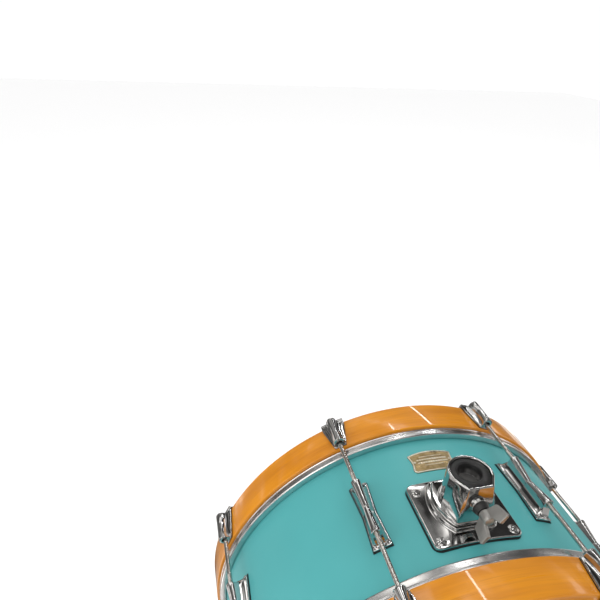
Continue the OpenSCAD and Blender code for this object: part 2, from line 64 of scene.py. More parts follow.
hoop_low, hoop_high = box_mm("front_hoop")
shell_low, shell_high = box_mm("shell")
flesh_low, flesh_high = box_mm("front_flesh_hoop")
lug_high = box_mm("lug_gaskets")[1]
rod_low, rod_high = box_mm("front_rod_1")
head_high = box_mm("front_head")[1]
receiver_low, receiver_high = box_mm("tom_receiver")
bush_low, bush_high = box_mm("receiver_bushing")
collar_low, collar_high = box_mm("receiver_collar")
badge_low, badge_high = box_mm("badge")
claw_high = box_mm("front_claws")[1]

# What no box gives: thicknesses, the gasket's margin round a lug and the rods' distance from the hoop.
HOOP_THICK, GASKET_THICK, GASKET_MARGIN, ROD_GAP = 10, 1.2, 1, 7

AXIS_Z = (hoop_low.z + hoop_high.z) / 2
HOOP_R = (hoop_high.x - hoop_low.x) / 2
HOOP_IN_R = HOOP_R - HOOP_THICK
HOOP_Y0, HOOP_Y1 = hoop_low.y, hoop_high.y
SHELL_R = (shell_high.x - shell_low.x) / 2
EDGE_Y = shell_high.y
FLESH_R = (flesh_high.x - flesh_low.x) / 2
ROD_CIRCLE = HOOP_R + ROD_GAP
ROD_R = 2.95
ROD_Y0, ROD_Y1 = rod_low.y, rod_high.y
LUG_BASE = SHELL_R + GASKET_THICK
LUG_HALF = lug_high.y - GASKET_MARGIN
CLAW_BASE = HOOP_R + GASKET_THICK
CLAW_TIP_Y = 101
CLAW_END_Y = claw_high.y
SIDES = {"front": 0, "batter": math.pi}
LUGS = range(1, 9)


def lug_angle(i):
    return math.radians((i - 0.5) * 45)


def round_shell(angle, turn=0.0):
    """Stands a piece at an angle round the shell; turn faces it to the other side."""
    return (Matrix.Translation((0, 0, AXIS_Z * MM)) @ Matrix.Rotation(angle, 4, "Y")
            @ Matrix.Rotation(turn, 4, "Z"))


# ---- outlines ----

def turns(n):
    """Even angles round a full turn."""
    return [2 * math.pi * k / n for k in range(n)]


def fillet(points, radius, steps=4):
    """A closed outline with its corners rounded; radius is one number, or one for each corner."""
    out = []
    for i, p in enumerate(points):
        r = radius[i] if isinstance(radius, (list, tuple)) else radius
        p = Vector(p)
        u = Vector(points[i - 1]) - p
        v = Vector(points[(i + 1) % len(points)]) - p
        reach = min(r / math.tan(u.angle(v) / 2), u.length * 0.48, v.length * 0.48) if r else 0
        if reach < 1e-6:
            out.append(p)
            continue
        start, end = p + u.normalized() * reach, p + v.normalized() * reach
        for k in range(steps + 1):
            t = k / steps
            out.append(start * (1 - t) ** 2 + p * 2 * t * (1 - t) + end * t * t)
    return out


SHARPEST_INSET = 0.35


def inset(points, d):
    """An outline moved inwards by d; it runs anticlockwise."""
    out = []
    n = len(points)
    for i in range(n):
        before, here, after = Vector(points[i - 1]), Vector(points[i]), Vector(points[(i + 1) % n])
        came, goes = here - before, after - here
        in_1, in_2 = Vector((-came.y, came.x)), Vector((-goes.y, goes.x))
        if in_1.length < 1e-9 or in_2.length < 1e-9:
            out.append(here)
            continue
        in_1.normalize()
        in_2.normalize()
        out.append(here + (in_1 + in_2) * (d / max(SHARPEST_INSET, 1 + in_1.dot(in_2))))
    return out


def polar(points, centre, n):
    """An outline sampled at n even angles about a centre inside it."""
    c = Vector(centre)
    out = []
    for a in turns(n):
        d = Vector((math.cos(a), math.sin(a)))
        best = 0.0
        for i in range(len(points)):
            p, q = Vector(points[i - 1]) - c, Vector(points[i]) - c
            e = q - p
            det = d.x * -e.y + e.x * d.y
            if abs(det) < 1e-12:
                continue
            t = (p.x * -e.y + e.x * p.y) / det
            s = (d.x * p.y - d.y * p.x) / det
            if t > best and -1e-6 <= s <= 1 + 1e-6:
                best = t
        out.append(c + d * best)
    return out


def arc(cx, cy, r, a0, a1, steps=12):
    angles = [math.radians(a0 + (a1 - a0) * k / steps) for k in range(steps + 1)]
    return [Vector((cx + r * math.cos(a), cy + r * math.sin(a))) for a in angles]


def mirrored(points):
    return [Vector((-p[0], p[1])) for p in reversed(points)]


# ---- meshes ----

class Shape:
    """Vertices in millimetres and faces, gathered from several closed parts."""

    def __init__(self):
        self.verts, self.faces = [], []

    def add(self, verts, faces):
        start = len(self.verts)
        self.verts += [Vector(v) for v in verts]
        self.faces += [[start + i for i in f] for f in faces]
        return self

    def loft(self, rings, wrap=False):
        """Joins rings of equally many points; wrap joins the last to the first instead of closing both ends."""
        n = len(rings[0])
        faces = []
        for i in range(len(rings) if wrap else len(rings) - 1):
            a, b = i * n, (i + 1) % len(rings) * n
            faces += [[a + j, a + (j + 1) % n, b + (j + 1) % n, b + j] for j in range(n)]
        if not wrap:
            faces.append(list(range(n))[::-1])
            faces.append([(len(rings) - 1) * n + j for j in range(n)])
        return self.add([v for r in rings for v in r], faces)

    def turned(self, profile, axis=(0, 0), segments=48, along="y"):
        """A closed profile of (radius, distance) turned about a line along y or z."""
        rings = []
        for a in turns(segments):
            c, s = math.cos(a), math.sin(a)
            if along == "y":
                rings.append([(axis[0] + r * c, h, axis[1] + r * s) for r, h in profile])
            else:
                rings.append([(axis[0] + r * c, axis[1] + r * s, h) for r, h in profile])
        return self.loft(rings, wrap=True)

    def slab(self, outline, low, high, edge=0.5, steps=3, lift=None):
        """A flat outline with thickness along z and rounded rims; lift bends it to a surface."""
        lift = lift or (lambda p: 0.0)
        quarter = [math.pi / 2 * k / steps for k in range(steps + 1)]
        levels = [(edge * (1 - math.sin(t)), low + edge * (1 - math.cos(t))) for t in quarter]
        levels += [(edge * (1 - math.cos(t)), high - edge * (1 - math.sin(t))) for t in quarter]
        return self.loft([[(p.x, p.y, z + lift(p)) for p in inset(outline, d)] for d, z in levels])

    def moved(self, matrix):
        self.verts = [matrix @ v for v in self.verts]
        return self

    def shifted(self, x=0.0, y=0.0, z=0.0):
        for v in self.verts:
            v.x, v.y, v.z = v.x + x, v.y + y, v.z + z
        return self

    def join(self, other):
        return self.add(other.verts, other.faces)


def mesh_of(name, shape, sharp=32, mirror=False):
    verts = [(-v.x if mirror else v.x, v.y, v.z) for v in shape.verts]
    mesh = bpy.data.meshes.new(name)
    mesh.from_pydata([[c * MM for c in v] for v in verts], [], shape.faces)
    work = bmesh.new()
    work.from_mesh(mesh)
    bmesh.ops.remove_doubles(work, verts=work.verts, dist=1e-7)
    bmesh.ops.dissolve_degenerate(work, edges=work.edges, dist=1e-8)
    bmesh.ops.recalc_face_normals(work, faces=work.faces)
    work.to_mesh(mesh)
    work.free()
    mesh.shade_smooth()
    mesh.set_sharp_from_angle(angle=math.radians(sharp))
    return mesh


def piece(name, mesh, material, body, replaces, matrix=None):
    """A visible piece: its mesh, finish, body, material slot and the CAD nodes that it stands for."""
    obj = bpy.data.objects.new(name, mesh)
    bpy.context.scene.collection.objects.link(obj)
    if not mesh.materials:
        mesh.materials.append(material)
    if matrix:
        obj.matrix_world = matrix
    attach(obj, body)
    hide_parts(*replaces)


# ---- materials ----

def fill_ramp(ramp, stops):
    """Gives a colour ramp its stops, each a place and a colour."""
    while len(ramp.elements) < len(stops):
        ramp.elements.new(0.5)
    for element, (at, colour) in zip(ramp.elements, stops):
        element.position = at
        element.color = (*colour, 1)


class Nodes:
    """Short forms for building a material's node tree."""

    def __init__(self, name):
        self.material = bpy.data.materials.new(name)
        self.material.use_nodes = True
        self.tree = self.material.node_tree
        self.shader = self.tree.nodes["Principled BSDF"]
        self.coords = self.tree.nodes.new("ShaderNodeTexCoord").outputs["Object"]

    def node(self, kind, **settings):
        n = self.tree.nodes.new(kind)
        for key, value in settings.items():
            setattr(n, key, value)
        return n

    def link(self, output, socket):
        self.tree.links.new(output, socket)

    def put(self, value, socket):
        """A number or a colour is set on the socket, and an output is linked to it."""
        if isinstance(value, (int, float)):
            socket.default_value = value
        elif isinstance(value, tuple):
            socket.default_value = (*value, 1)
        else:
            self.link(value, socket)

    def math(self, operation, a, b=0.0):
        n = self.node("ShaderNodeMath", operation=operation)
        self.put(a, n.inputs[0])
        self.put(b, n.inputs[1])
        return n.outputs[0]

    def noise(self, scale, detail=4.0, rough=0.55, coords=None, stretch=None):
        source = coords or self.coords
        if stretch:
            m = self.node("ShaderNodeMapping")
            m.inputs["Scale"].default_value = stretch
            self.link(source, m.inputs["Vector"])
            source = m.outputs["Vector"]
        n = self.node("ShaderNodeTexNoise")
        self.link(source, n.inputs["Vector"])
        n.inputs["Scale"].default_value = scale
        n.inputs["Detail"].default_value = detail
        n.inputs["Roughness"].default_value = rough
        return n.outputs["Fac"]

    def ramp(self, fac, stops):
        """A ramp whose stops are colours, or numbers for greys."""
        n = self.node("ShaderNodeValToRGB")
        fill_ramp(n.color_ramp, [(at, c if isinstance(c, tuple) else (c,) * 3) for at, c in stops])
        self.link(fac, n.inputs["Fac"])
        return n.outputs["Color"]

    def mix(self, fac, a, b):
        n = self.node("ShaderNodeMix", data_type="RGBA")
        self.link(fac, n.inputs["Factor"])
        for value, socket in zip((a, b), [s for s in n.inputs if s.type == "RGBA"]):
            self.put(value, socket)
        return [s for s in n.outputs if s.type == "RGBA"][0]

    def spread(self, fac, low, high):
        """A noise's middle range turned into a range of values."""
        n = self.node("ShaderNodeMapRange")
        n.inputs["From Min"].default_value = 0.3
        n.inputs["From Max"].default_value = 0.7
        n.inputs["To Min"].default_value = low
        n.inputs["To Max"].default_value = high
        self.link(fac, n.inputs["Value"])
        return n.outputs["Result"]

    def bump(self, height, distance, normal=None):
        n = self.node("ShaderNodeBump")
        n.inputs["Strength"].default_value = 1.0
        n.inputs["Distance"].default_value = distance
        self.link(height, n.inputs["Height"])
        if normal:
            self.link(normal, n.inputs["Normal"])
        return n.outputs["Normal"]

    def finish(self, colour, rough, normal=None, **fixed):
        self.put(colour, self.shader.inputs["Base Color"])
        self.put(rough, self.shader.inputs["Roughness"])
        if normal:
            self.link(normal, self.shader.inputs["Normal"])
        for key, value in fixed.items():
            self.shader.inputs[key.replace("_", " ")].default_value = value
        return self.material


def metal(name, dark, light, rough_low, rough_high, grain=0.0, grain_scale=900, wave=0.0):
    """A bare or plated metal: slight colour drift, smudged gloss, grain and a faint waviness."""
    n = Nodes(name)
    colour = n.ramp(n.noise(35), [(0.35, dark), (0.65, light)])
    rough = n.spread(n.noise(70, 6), rough_low, rough_high)
    normal = n.bump(n.noise(60, 2), wave) if wave else None
    if grain:
        normal = n.bump(n.noise(grain_scale, 3), grain, normal=normal)
    return n.finish(colour, rough, normal, Metallic=1.0)


def soft(name, dark, light, rough_low, rough_high, grain, **fixed):
    """Rubber or plastic: an even colour with a little dust, moulded grain and gloss drift."""
    n = Nodes(name)
    colour = n.ramp(n.noise(60, 6), [(0.35, dark), (0.68, light)])
    rough = n.spread(n.noise(110, 5), rough_low, rough_high)
    return n.finish(colour, rough, n.bump(n.noise(1500, 3), grain), **fixed)


def drum_coords(n, centre=AXIS_Z):
    """The place round the drum, along its axis and away from it, as a vector, and the last of them alone."""
    split = n.node("ShaderNodeSeparateXYZ")
    n.link(n.coords, split.inputs[0])
    up = n.math("SUBTRACT", split.outputs["Z"], centre * MM)
    radius = n.math("SQRT", n.math("ADD", n.math("MULTIPLY", up, up),
                                   n.math("MULTIPLY", split.outputs["X"], split.outputs["X"])))
    round_way = n.math("MULTIPLY", n.math("ARCTAN2", split.outputs["X"], up), HOOP_R * MM)
    joined = n.node("ShaderNodeCombineXYZ")
    for value, socket in zip((round_way, split.outputs["Y"], radius), joined.inputs):
        n.link(value, socket)
    return joined.outputs[0], radius


def stained_hoop():
    """Amber-stained bent wood: long grain round the hoop, pores, and a clear coat."""
    n = Nodes("amber_hoop")
    place, _ = drum_coords(n)
    broad = n.noise(9, 3, 0.5, place, (1.0, 9.0, 9.0))
    fine = n.noise(55, 6, 0.6, place, (0.12, 6.0, 6.0))
    pores = n.noise(260, 2, 0.5, place, (0.06, 4.0, 4.0))
    colour = n.ramp(broad, [(0.30, (0.54, 0.185, 0.003)), (0.72, (0.70, 0.268, 0.006))])
    colour = n.mix(n.spread(fine, 0.0, 0.30), colour, (0.40, 0.125, 0.003))
    colour = n.mix(n.ramp(pores, [(0.60, 0.0), (0.74, 0.35)]), colour, (0.25, 0.07, 0.005))
    rough = n.spread(fine, 0.26, 0.38)
    normal = n.bump(fine, 0.00008)
    return n.finish(colour, rough, normal, Coat_Weight=0.8, Coat_Roughness=0.04,
                    Specular_IOR_Level=0.3)


def lacquered_shell():
    """Satin turquoise lacquer outside, bare plies inside and on the bearing edges."""
    n = Nodes("turquoise_shell")
    place, radius = drum_coords(n)
    drift = n.noise(7, 3, 0.5)
    paint = n.ramp(drift, [(0.3, (0.058, 0.318, 0.322)), (0.7, (0.068, 0.352, 0.356))])
    grain = n.noise(40, 5, 0.6, place, (3.0, 0.25, 3.0))
    wood = n.ramp(grain, [(0.30, (0.50, 0.33, 0.17)), (0.70, (0.68, 0.49, 0.28))])
    outside = n.math("GREATER_THAN", radius, (SHELL_R - 0.6) * MM)
    colour = n.mix(outside, wood, paint)
    rough = n.spread(n.noise(24, 5), 0.36, 0.45)
    orange_peel = n.bump(n.noise(420, 2), 0.00003)
    return n.finish(colour, rough, orange_peel, Specular_IOR_Level=0.5)


def head_film(name, colour_low, colour_high, rough, grain):
    """Drum head film, with a sprayed texture on the coated one."""
    n = Nodes(name)
    colour = n.ramp(n.noise(5, 5), [(0.3, colour_low), (0.7, colour_high)])
    gloss = n.spread(n.noise(16, 6), rough, rough + 0.12)
    return n.finish(colour, gloss, n.bump(n.noise(1300, 3), grain), Subsurface_Weight=0.08,
                    Subsurface_Radius=(0.002, 0.002, 0.002))


def badge_metal():
    """Old gold plate, pale on its raised rim and lines and darker in the field between them."""
    n = Nodes("badge_plate")
    _, radius = drum_coords(n, 0)
    raised = n.math("GREATER_THAN", radius, (SHELL_R + 0.83) * MM)
    dirt = n.noise(160, 6, 0.65)
    brushed = n.noise(500, 3, 0.5, stretch=(0.08, 1.0, 1.0))
    field = n.ramp(dirt, [(0.32, (0.24, 0.17, 0.075)), (0.66, (0.50, 0.38, 0.20))])
    pale = n.ramp(dirt, [(0.30, (0.72, 0.64, 0.48)), (0.60, (0.88, 0.82, 0.70))])
    colour = n.mix(raised, field, pale)
    rough = n.spread(brushed, 0.24, 0.42)
    return n.finish(colour, rough, n.bump(brushed, 0.00003), Metallic=1.0)


CHROME = metal("chrome_plate", 0.50, 0.62, 0.035, 0.09, wave=0.00002)
ROD_STEEL = metal("rod_plate", (0.52, 0.49, 0.46), (0.62, 0.60, 0.57), 0.14, 0.24, grain=0.00001)
FLESH_METAL = metal("hoop_aluminium", 0.66, 0.74, 0.20, 0.27, grain=0.000008)
SCREW_STEEL = metal("screw_plate", 0.50, 0.62, 0.08, 0.18, grain=0.00001)
DIE_CAST = metal("satin_casting", (0.42, 0.415, 0.40), (0.52, 0.515, 0.50), 0.40, 0.52,
                 grain=0.00006, grain_scale=1100)
NUT_BRASS = metal("nut_brass", (0.55, 0.38, 0.14), (0.68, 0.50, 0.22), 0.25, 0.4, grain=0.00002)
RUBBER = soft("black_rubber", 0.006, 0.018, 0.5, 0.7, 0.00005)
NYLON = soft("black_nylon", 0.008, 0.016, 0.30, 0.45, 0.00003, Specular_IOR_Level=0.5)
SHELL = lacquered_shell()
HOOP = stained_hoop()
COATED = head_film("coated_head", (0.74, 0.73, 0.69), (0.80, 0.79, 0.76), 0.55, 0.00008)
SMOOTH = head_film("smooth_head", (0.80, 0.80, 0.79), (0.84, 0.84, 0.83), 0.30, 0.000005)
BADGE = badge_metal()


def refinish(material, *nodes):
    """A CAD node whose shape is kept gets its finish."""
    for name in nodes:
        mesh = frame["nodes"][name].data
        mesh.materials.clear()
        mesh.materials.append(material)


def soften(width, *nodes):
    """A small round on the edges of CAD nodes, made by a modifier."""
    for name in nodes:
        bevel = frame["nodes"][name].modifiers.new("edge", "BEVEL")
        bevel.width = width * MM
        bevel.segments = 2
        bevel.limit_method = "ANGLE"
        bevel.angle_limit = math.radians(40)
        bevel.harden_normals = True


# ---- shell, heads and hoops ----

def revolved(name, profile, material, node, segments=288):
    """A ring round the drum's axis on the front side, and the same turned about for the batter side."""
    for side, turn in SIDES.items():
        shape = Shape().turned(profile, segments=segments)
        mesh = mesh_of(f"{side}_{name}", shape.moved(Matrix.Rotation(turn, 3, "Z")), sharp=40)
        for v in mesh.vertices:
            v.co.z += AXIS_Z * MM
        piece(f"{name}_{side}", mesh, material[side], "drum", [f"{side}_{node}"])


def both(value):
    return {side: value for side in SIDES}


def build_hoops():
    corners = [(HOOP_IN_R, HOOP_Y0), (HOOP_R, HOOP_Y0), (HOOP_R, HOOP_Y1), (HOOP_IN_R, HOOP_Y1)]
    revolved("wood_hoop", fillet(corners, 1.8, 5), both(HOOP), "hoop")


def build_flesh_hoops():
    y0, y1 = flesh_low.y, flesh_high.y
    inner = FLESH_R - 8
    profile = fillet([
        (inner, y0), (FLESH_R - 0.8, y0), (FLESH_R, y0 + 1.6), (FLESH_R, y1 - 4.4),
        (FLESH_R - 0.7, y1 - 3.2), (FLESH_R, y1 - 2.0), (FLESH_R, y1), (inner, y1)
    ], [0.3, 0.7, 0.9, 0.6, 0.6, 0.6, 0.9, 0.3], 4)
    revolved("head_ring", profile, both(FLESH_METAL), "flesh_hoop")


def build_heads():
    y, t, r = EDGE_Y, head_high.y - EDGE_Y, SHELL_R + 0.35
    low = flesh_high.y - 3
    radii = [k * 8.0 + 0.01 for k in range(31)]
    face = [(radius, y + t) for radius in radii]
    under = [(radius, y) for radius in reversed(radii)]
    profile = face + fillet([
        (r - 3, y + t), (r + 0.25, y + t), (r + 0.25, low), (r - 0.25, low), (r - 0.25, y), (r - 3, y)
    ], [0, 1.2, 0.1, 0.1, 0.8, 0], 5) + under
    revolved("film", profile, {"front": SMOOTH, "batter": COATED},
             "head", 180)


# ---- lugs ----

def hourglass(y, half, end, waist):
    return waist + (end - waist) * min(1.0, abs(y) / half)


def round_hole(ring, y, r):
    """A ring's points brought onto a circle about the rod's line, for the edge of a hole."""
    angles = [math.atan2(z - ROD_CIRCLE, x) for x, _, z in ring]
    return [(r * math.cos(a), y, ROD_CIRCLE + r * math.sin(a)) for a in angles]


def lug_shape():
    """A waisted casting: a foot with a hollow-sided skirt and a half-round rib with a hole in each end."""
    foot_end, foot_waist = 11.0, 8.25
    rib_end, rib_r, rib_waist_r = LUG_HALF - 7, 6.0, 4.2
    dip = 5.5
    foot_top = LUG_BASE + 2.5
    shape = Shape()

    def curve(x):
        return -x * x / (2 * LUG_BASE)

    def skirt_ring(y, shrink):
        w = hourglass(y, LUG_HALF, foot_end, foot_waist) - shrink
        over = max(0.0, abs(y) - rib_end)
        fall = min(1.0, over / (LUG_HALF - rib_end - 1.2))
        top = (ROD_CIRCLE - 5) * (1 - fall) + (foot_top + 0.05) * fall
        rib = hourglass(y, rib_end, rib_r, rib_waist_r) - 0.5
        side = [(w - 0.5, LUG_BASE), (w, LUG_BASE + 0.4), (w, foot_top - 0.7),
                (w - 0.25, foot_top - 0.2), (w - 0.8, foot_top), (w - 1.3, foot_top)]
        for k in range(1, 9):
            t = k / 8
            x = (w - 1.3) + (rib - (w - 1.3)) * (1 - (1 - t) ** 1.45)
            side.append((x, foot_top + (top - foot_top) * t ** 1.2))
        ring = side + mirrored(side)
        return [(x, y, z + curve(x)) for x, z in ring]

    ends = [LUG_HALF, LUG_HALF - 0.25, LUG_HALF - 0.8]
    rises = [rib_end + f for f in (5.2, 3.6, 1.8, 0.8, 0.0)]
    spine = [28, 21, 14, 7, 2, 0.4]
    positive = list(zip(ends + rises + spine, [0.8, 0.25, 0.0] + [0.0] * (len(rises) + len(spine))))
    stations = positive + [(0.0, 0.0)] + [(-y, s) for y, s in reversed(positive)]
    shape.loft([skirt_ring(y, s) for y, s in stations])

    def rib_ring(y, grow=0.0):
        w = hourglass(y, rib_end, rib_r, rib_waist_r) - grow
        top = ROD_CIRCLE + rib_r - dip * (1 - min(1.0, abs(y) / rib_end)) - grow
        side = [(w, LUG_BASE + 1.2), (w, LUG_BASE + 6), (w, top - w - 3)]
        return [(x, y, z) for x, z in side + arc(0, top - w, w, 0, 180, 20) + mirrored(side)]

    def hole_ring(y, r):
        return round_hole(rib_ring(rib_end), y, r)

    half = [hole_ring(22, 3.6), hole_ring(rib_end - 0.5, 3.6), hole_ring(rib_end - 0.1, 3.8),
            hole_ring(rib_end, 4.2), rib_ring(rib_end, 0.9), rib_ring(rib_end - 0.12, 0.45),
            rib_ring(rib_end - 0.5, 0.1), rib_ring(rib_end - 1.0)]
    half += [rib_ring(y) for y in (30, 24, 18, 12, 6, 1.2, 0.35)]
    mirror = [[(x, -y, z) for x, y, z in ring] for ring in reversed(half)]
    shape.loft(half + [rib_ring(0.0, 0.15)] + mirror)
    return shape


def build_lugs():
    mesh = mesh_of("lug_casting", lug_shape(), sharp=38)
    for i in LUGS:
        piece(f"lug_casting_{i}", mesh, CHROME, "drum", [f"lug_{i}"],
              round_shell(lug_angle(i)))


# ---- tension rods ----

ROD_SIDES, THREAD_ROWS, THREAD_PITCH, THREAD_DEPTH = 20, 6, 1.0, 0.34


def thread_rings(r, y0, y1):
    """Rings of a rolled thread, deepest between the turns, that fades out at both ends."""
    rings = []
    count = int((y1 - y0) / THREAD_PITCH * THREAD_ROWS)
    for i in range(count + 1):
        y = y0 + THREAD_PITCH * i / THREAD_ROWS
        fade = min(1.0, (count - i) / (2 * THREAD_ROWS), (i + 1) / THREAD_ROWS)
        ring = []
        for k, a in enumerate(turns(ROD_SIDES)):
            phase = (i / THREAD_ROWS - k / ROD_SIDES) % 1.0
            depth = THREAD_DEPTH * fade * (1 - abs(2 * phase - 1))
            ring.append(((r - depth) * math.cos(a), y, (r - depth) * math.sin(a)))
        rings.append(ring)
    return rings


def key_square():
    """The plan of a square head for a drum key."""
    return fillet([(-3, -3), (3, -3), (3, 3), (-3, 3)], 0.5, 3)


def rod_shape():
    """A threaded rod with a plain shank, a flange and a square head."""
    def rod_ring(y, r):
        return [(r * math.cos(a), y, r * math.sin(a)) for a in turns(ROD_SIDES)]

    seat = ROD_Y1 - 7.3
    key_y = seat + 1.8
    shape = Shape()
    thread_end = ROD_Y0 + 28
    thread = thread_rings(ROD_R - 0.02, ROD_Y0 + 0.4, thread_end)
    shank = [rod_ring(y, r) for y, r in
             ((thread_end + 1.5, ROD_R - 0.2), (seat - 1, ROD_R - 0.2), (seat + 1, ROD_R))]
    shape.loft([rod_ring(ROD_Y0, ROD_R - 0.7)] + thread + shank)
    flange = fillet([(0.01, seat), (5.2, seat), (5.2, seat + 1.3), (4.2, key_y), (0.01, key_y)],
                    [0, 0.3, 0.3, 0.3, 0], 3)
    shape.turned(flange, segments=40)
    head = Shape().slab(key_square(), key_y - 0.3, ROD_Y1, edge=0.6)
    shape.join(head.moved(Matrix.Rotation(-math.pi / 2, 3, "X")))
    return shape.shifted(z=ROD_CIRCLE)


def build_rods():
    mesh = mesh_of("tension_rod", rod_shape(), sharp=50)
    for side, turn in SIDES.items():
        for i in LUGS:
            node = f"{side}_rod_{i}"
            piece(f"tension_{node}", mesh, ROD_STEEL, node, [node],
                  round_shell(lug_angle(i), turn))


# ---- claw hooks ----

def claw_shape():
    """A shield over the hoop with a raised bar for the rod, a turned-down back and a lip inside the hoop."""
    bar_end = ROD_Y1 + 0.35
    tip = CLAW_TIP_Y - 0.5
    shape = Shape()

    def half_width(y):
        t = max(0.0, min(1.0, (y - CLAW_TIP_Y) / (HOOP_Y1 - 6 - CLAW_TIP_Y)))
        return 8.0 + 7.5 * t ** 0.85

    def bar(y):
        mouth = max(0.0, 1 - (y - tip) / 13)
        cup = max(0.0, min(1.0, (y - bar_end + 17) / 10))
        return 4.9 + 2.1 * mouth ** 1.5 + 1.8 * cup * cup * (3 - 2 * cup)

    def shield_ring(y, shrink=0.0):
        """The shield's section, with hollow sides that climb to the bar up to where the bar ends."""
        w, b = half_width(y) - shrink, min(bar(min(y, bar_end)), half_width(y) - 0.6) - 0.5
        fall = max(0.0, min(1.0, (y - bar_end + 0.6) / 2.2))
        top = (ROD_CIRCLE + 1) * (1 - fall) + (CLAW_BASE + 2.1) * fall
        side = [(w - 0.3, CLAW_BASE), (w, CLAW_BASE + 0.3), (w, CLAW_BASE + 1.5),
                (w - 0.3, CLAW_BASE + 2.0)]
        for k in range(1, 9):
            t = k / 8
            x = (w - 0.3) + (b - (w - 0.3)) * (1 - (1 - t) ** 1.6)
            side.append((x, CLAW_BASE + 2.0 + (top - CLAW_BASE - 2.0) * t ** 1.4))
        return [(x, y, z - x * x / (2 * CLAW_BASE)) for x, z in side + mirrored(side)]

    ys = [CLAW_TIP_Y + f for f in (3, 6, 10, 15, 20, 25, 30, 35)]
    ys += [bar_end - 0.6, bar_end, bar_end + 0.6, bar_end + 1.1, bar_end + 1.6, CLAW_END_Y - 0.8]
    rings = [shield_ring(tip, 0.8), shield_ring(tip + 0.2, 0.25), shield_ring(tip + 0.8)]
    rings += [shield_ring(y) for y in ys]
    rings += [shield_ring(CLAW_END_Y - 0.2, 0.25), shield_ring(CLAW_END_Y, 0.8)]
    shape.loft(rings)

    def bar_ring(y, grow=0.0):
        """The bar's section: round on top, taller than it is wide."""
        r = bar(y) - grow
        high = ROD_CIRCLE + 9.2 - grow - r
        side = [(r, CLAW_BASE + 1.0), (r, ROD_CIRCLE - 1)]
        return [(x, y, z) for x, z in side + arc(0, high, r, 0, 180, 24) + mirrored(side)]

    def bore_ring(y, r):
        return round_hole(bar_ring(y), y, r)

    seat = ROD_Y1 - 7.6
    mouth = [bore_ring(tip + f, r) for f, r in ((9, 3.7), (8.9, 4.5), (0.7, 4.6), (0.2, 4.8), (0, 5.2))]
    mouth += [bar_ring(tip + f, grow) for f, grow in ((0, 0.9), (0.15, 0.4), (0.6, 0.05))]
    body = [bar_ring(CLAW_TIP_Y + f) for f in (1.5, 3, 5, 7, 9, 12, 16, 20)]
    body += [bar_ring(bar_end - f) for f in (17, 15, 13, 11, 9, 7, 4, 1.0)]
    cup = [bar_ring(bar_end - 0.3, 0.15), bar_ring(bar_end, 0.6), bore_ring(bar_end, 5.95),
           bore_ring(bar_end - 0.3, 5.65), bore_ring(seat, 5.6), bore_ring(seat, 3.7)]
    shape.loft(mouth + body + cup, wrap=True)

    low = HOOP_IN_R - 3.2
    back = fillet([(-13, low), (13, low), (15.4, HOOP_IN_R + 5), (15.4, CLAW_BASE + 1.9),
                   (-15.4, CLAW_BASE + 1.9), (-15.4, HOOP_IN_R + 5)], [3, 3, 4, 0.6, 0.6, 4], 4)
    plate = Shape().slab(mirrored(back), HOOP_Y1 + GASKET_THICK, CLAW_END_Y, edge=0.7)
    shape.join(plate.moved(Matrix(((1, 0, 0), (0, 0, 1), (0, 1, 0)))))

    lip_out, lip_in = HOOP_IN_R - 1.2, HOOP_IN_R - 3.4
    lip_end, lip_root = HOOP_Y1 - 11, HOOP_Y1 + 3
    lip = []
    for k in range(9):
        x = -9 + 18 * k / 8
        drop = lip_out - math.sqrt(lip_out * lip_out - x * x)
        section = fillet([(lip_in, lip_end), (lip_out, lip_end), (lip_out, lip_root), (lip_in, lip_root)],
                         0.6, 2)
        lip.append([(x, y, z - drop) for z, y in section])
    shape.loft(lip)
    return shape


def build_claws():
    mesh = mesh_of("claw_hook", claw_shape(), sharp=40)
    for side, turn in SIDES.items():
        for i in LUGS:
            piece(f"claw_{side}_{i}", mesh, CHROME, "drum", [f"{side}_claws"],
                  round_shell(lug_angle(i), turn))


# ---- tube receiver ----

RECEIVER_Y = (receiver_low.y + receiver_high.y) / 2
TUBE_Y = -22.0
TOWER_TOP = receiver_high.z - AXIS_Z
BUSH_TOP = bush_high.z - AXIS_Z
WING_Z = (collar_low.z + collar_high.z) / 2 - AXIS_Z
PLATE_TOP = SHELL_R + 4.0
BOSS_LEDGE, BOSS_TOP = 262.0, 267.0
PLATE_CROWN, BOSS_CROWN = 400, 900
TOWER_Y = -24
TOWER_WALL = 3.1
BUSH_BORE_R = 12.8


def tower_outline(grow):
    """The tower's plan: a flat near face that widens to a round back; it grows towards its foot."""
    near = -47.0 - grow
    half, face = 25 + grow * 0.4, 14.5 + grow * 1.6
    side = [(face, near), (half - 2, -33.0)]
    return mirrored(side) + [Vector(p) for p in side] + arc(0, TOWER_Y, half, 0, 180, 40)


def receiver_outlines():
    """The plans of the foot plate, the boss, the tower's foot and its top, all at the same even angles."""
    half_w, half_l = 51.0, (receiver_high.y - receiver_low.y) / 2
    near, far = RECEIVER_Y - half_l, RECEIVER_Y + half_l
    plate = fillet([(-half_w, near), (half_w, near), (half_w, far), (-half_w, far)], 9, 12)
    boss = []
    boss_r, boss_shift, boss_y = 51.4, 15.4, -20
    for sign, start, length in ((1, -54, 66), (-1, 12, -66)):
        for k in range(61):
            a = math.asin((start + length * k / 60 - boss_y) / boss_r)
            boss.append(Vector((sign * (boss_r * math.cos(a) - boss_shift), boss_y + boss_r * math.sin(a))))
    return [polar(points, (0, TOWER_Y), 360) for points in (plate, boss, tower_outline(5), tower_outline(0))]


